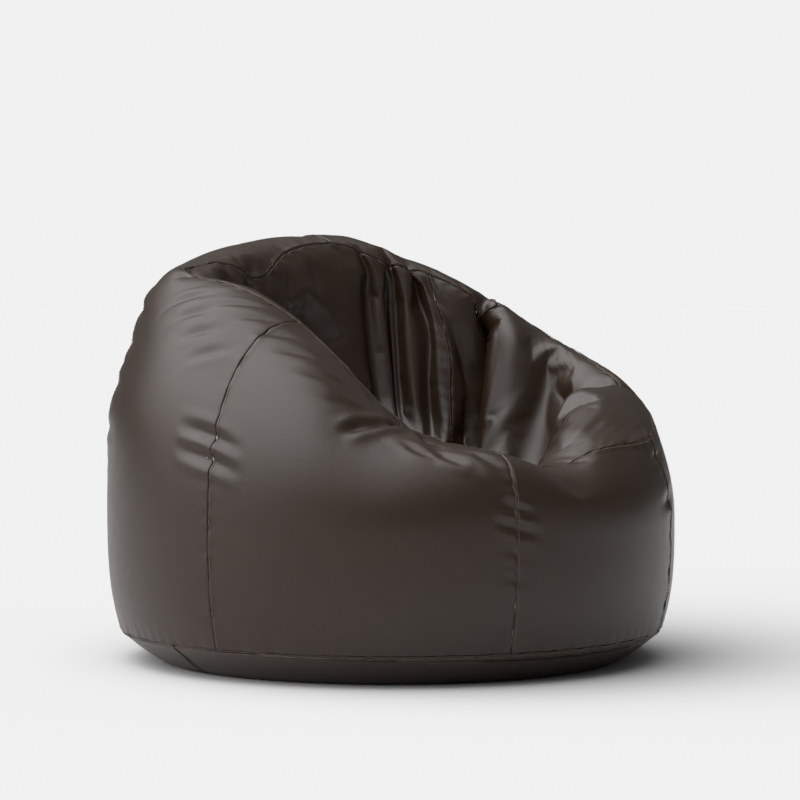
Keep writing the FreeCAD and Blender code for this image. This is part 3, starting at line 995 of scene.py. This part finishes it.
def side_row(azimuth):
    return upright_row(azimuth, np.linspace(BASE_RING + 0.5, CROWN_RING - 1.2, 700), STITCH_OFFSET)


def crown_row(azimuth, offset):
    return upright_row(azimuth, np.linspace(CROWN_RING + 0.8, RINGS - 3, 600), offset)


def ring_row():
    column = np.linspace(0, COLUMNS, RING_SAMPLES)
    full = np.full(RING_SAMPLES, float(CROWN_RING))
    step = np.linalg.norm(at(skin, full, column) - at(skin, full - 1, column), axis=1)
    ring = full - STITCH_OFFSET / step
    out = at(skin_normals, ring, column)
    return at(skin, ring, column) + out * RING_LIFT, out


def base_row():
    turn = np.linspace(0, 2 * math.pi, RING_SAMPLES)
    radius = HEM_RADIUS - 0.0032
    x, y, level = np.sin(turn), -np.cos(turn), np.ones(RING_SAMPLES)
    out = np.stack([x * 0.8, y * 0.8, level * -0.6], axis=1)
    return np.stack([x * radius, y * radius, level * foot(radius)], axis=1) + out * RING_LIFT, out


total = sum(finish_stitches(f"side_stitching_{n}", [side_row(azimuth)])
            for n, azimuth in enumerate(GORE_SEAMS, 1))
total += finish_stitches("crown_ring_stitching", [ring_row()])
total += finish_stitches("crown_middle_stitching", [crown_row(CROWN_SEAM, STITCH_OFFSET),
                                                    crown_row(CROWN_SEAM + 180, -STITCH_OFFSET)])
total += finish_stitches("base_stitching", [base_row()])
print("stitches:", total)

# %% [markdown]
# ## Liner and beads
# Inside the cover a thin woven liner holds the beads. Both follow the cover from the inside, a few
# millimetres away from it, so they don't show from outside.

# %% Liner
LINER_DEPTH, BEAD_DEPTH = 0.0030, 0.0048
soft_normals = normals(blur(skin, 3))
soft_normals[0], soft_normals[-1] = (0, 0, -1), (0, 0, 1)


def under(depth):
    return skin - soft_normals * depth


liner_skin = under(LINER_DEPTH)
for n in range(4):
    first = column_of(45 + 90 * n)
    net = panel_net(liner_skin, BASE_RING + 0.6, RINGS - 0.4, first, first + COLUMNS / 4)[0]
    add_piece(f"liner_cloth_{n + 1}", net[::2, ::2], "liner_cloth", 0.0008, [f"liner_panel_{n + 1}"])
for name, side in (("front", -1), ("rear", 1)):
    net = base_net(side, HEM_RADIUS - LINER_DEPTH, 0.006, 0.259, LINER_RECESS, LINER_DEPTH)[0]
    add_piece(f"liner_base_cloth_{name}", net, "liner_cloth", 0.0008, [f"liner_base_{name}"])

# %% Beads
bead_skin = under(BEAD_DEPTH)
x, y = bead_skin[:BASE_RING + 1, :, 0], bead_skin[:BASE_RING + 1, :, 1]
bead_skin[:BASE_RING + 1, :, 2] = foot(np.hypot(x, y) + BEAD_DEPTH) + BEAD_DEPTH + recess(x, y, BEAD_RECESS)
mesh, ring, column = bag_mesh(bead_skin[::2, ::2])
beads = make_object("beads", mesh, LOOKS["polystyrene_beads"])
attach(beads, "bag")
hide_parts("bead_filling")

# %% [markdown]
# ## Zips
# Each zip is a pair of woven tapes, each with a nylon coil along its edge. The coils are real helices.
# The sliders, the pull tab and the stops keep their designed shapes.

# %% Tapes and coils
ROD_SPLIT = 0.0016
COIL_PITCH = 0.0024
# length, height, radius of a coil, thickness of a tape, outer edge of a tape, and both materials
ZIPS = {"cover": (0.600, 0.0146, 0.0014, 0.0008, 0.0155, "brown_tape", "brown_coil"),
        "liner": (0.500, 0.0253, 0.0010, 0.0006, 0.0160, "liner_tape", "liner_coil")}


def tape_net(length, height, inner, outer, side):
    x = np.linspace(-length / 2, length / 2, 240)
    y = np.linspace(inner, outer, 12)
    points = np.empty((12, 240, 3))
    points[:, :, 0] = x
    points[:, :, 1] = side * y[:, None]
    points[:, :, 2] = height + 0.00008 * np.sin(x * 900)[None, :] * (y[:, None] > inner + 0.002)
    return points


def coil_net(length, height, rod, side):
    turns = int(length / COIL_PITCH)
    turn = np.linspace(0, 2 * math.pi * turns, turns * 9 + 1)
    wire, reach_out = rod * 0.24, rod * 0.76
    middle = ROD_SPLIT / 2 + rod
    spine = np.stack([np.linspace(-length / 2 + wire, length / 2 - wire, len(turn)),
                      side * (middle + reach_out * np.cos(turn)), height + reach_out * np.sin(turn)], axis=1)
    along = np.gradient(spine, axis=0)
    along /= np.linalg.norm(along, axis=1, keepdims=True)
    first = np.cross(along, (1.0, 0.0, 0.0))
    first /= np.linalg.norm(first, axis=1, keepdims=True)
    second = np.cross(along, first)
    ring = np.linspace(0, 2 * math.pi, 6)
    return spine[:, None] + wire * (first[:, None] * np.cos(ring)[None, :, None]
                                    + second[:, None] * np.sin(ring)[None, :, None])


for prefix, (length, height, rod, thick, edge, tape, coil) in ZIPS.items():
    for name, side in (("front", -1), ("rear", 1)):
        inner = ROD_SPLIT / 2 + 2 * rod + 0.00005
        net = tape_net(length + 0.016, height + thick / 2, inner, edge, side)
        add_piece(f"{prefix}_tape_{name}", net, tape, thick, [f"{prefix}_zip_tape_{name}"])
        add_piece(f"{prefix}_coil_{name}", coil_net(length, height, rod, side), coil, 0,
                  [f"{prefix}_zip_coil_{name}"], weld=0.000002)

# %% Sliders, tab and stops


def dress(name, look):
    """Gives a designed solid its material."""
    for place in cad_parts[name].material_slots:
        place.material = LOOKS[look]


dress("cover_zip_slider", "zip_metal")
dress("cover_zip_pull_tab", "zip_metal")
dress("liner_zip_slider", "stop_metal")
for prefix in ZIPS:
    dress(f"{prefix}_zip_top_stops", "stop_metal")
    dress(f"{prefix}_zip_bottom_stop", "stop_metal")
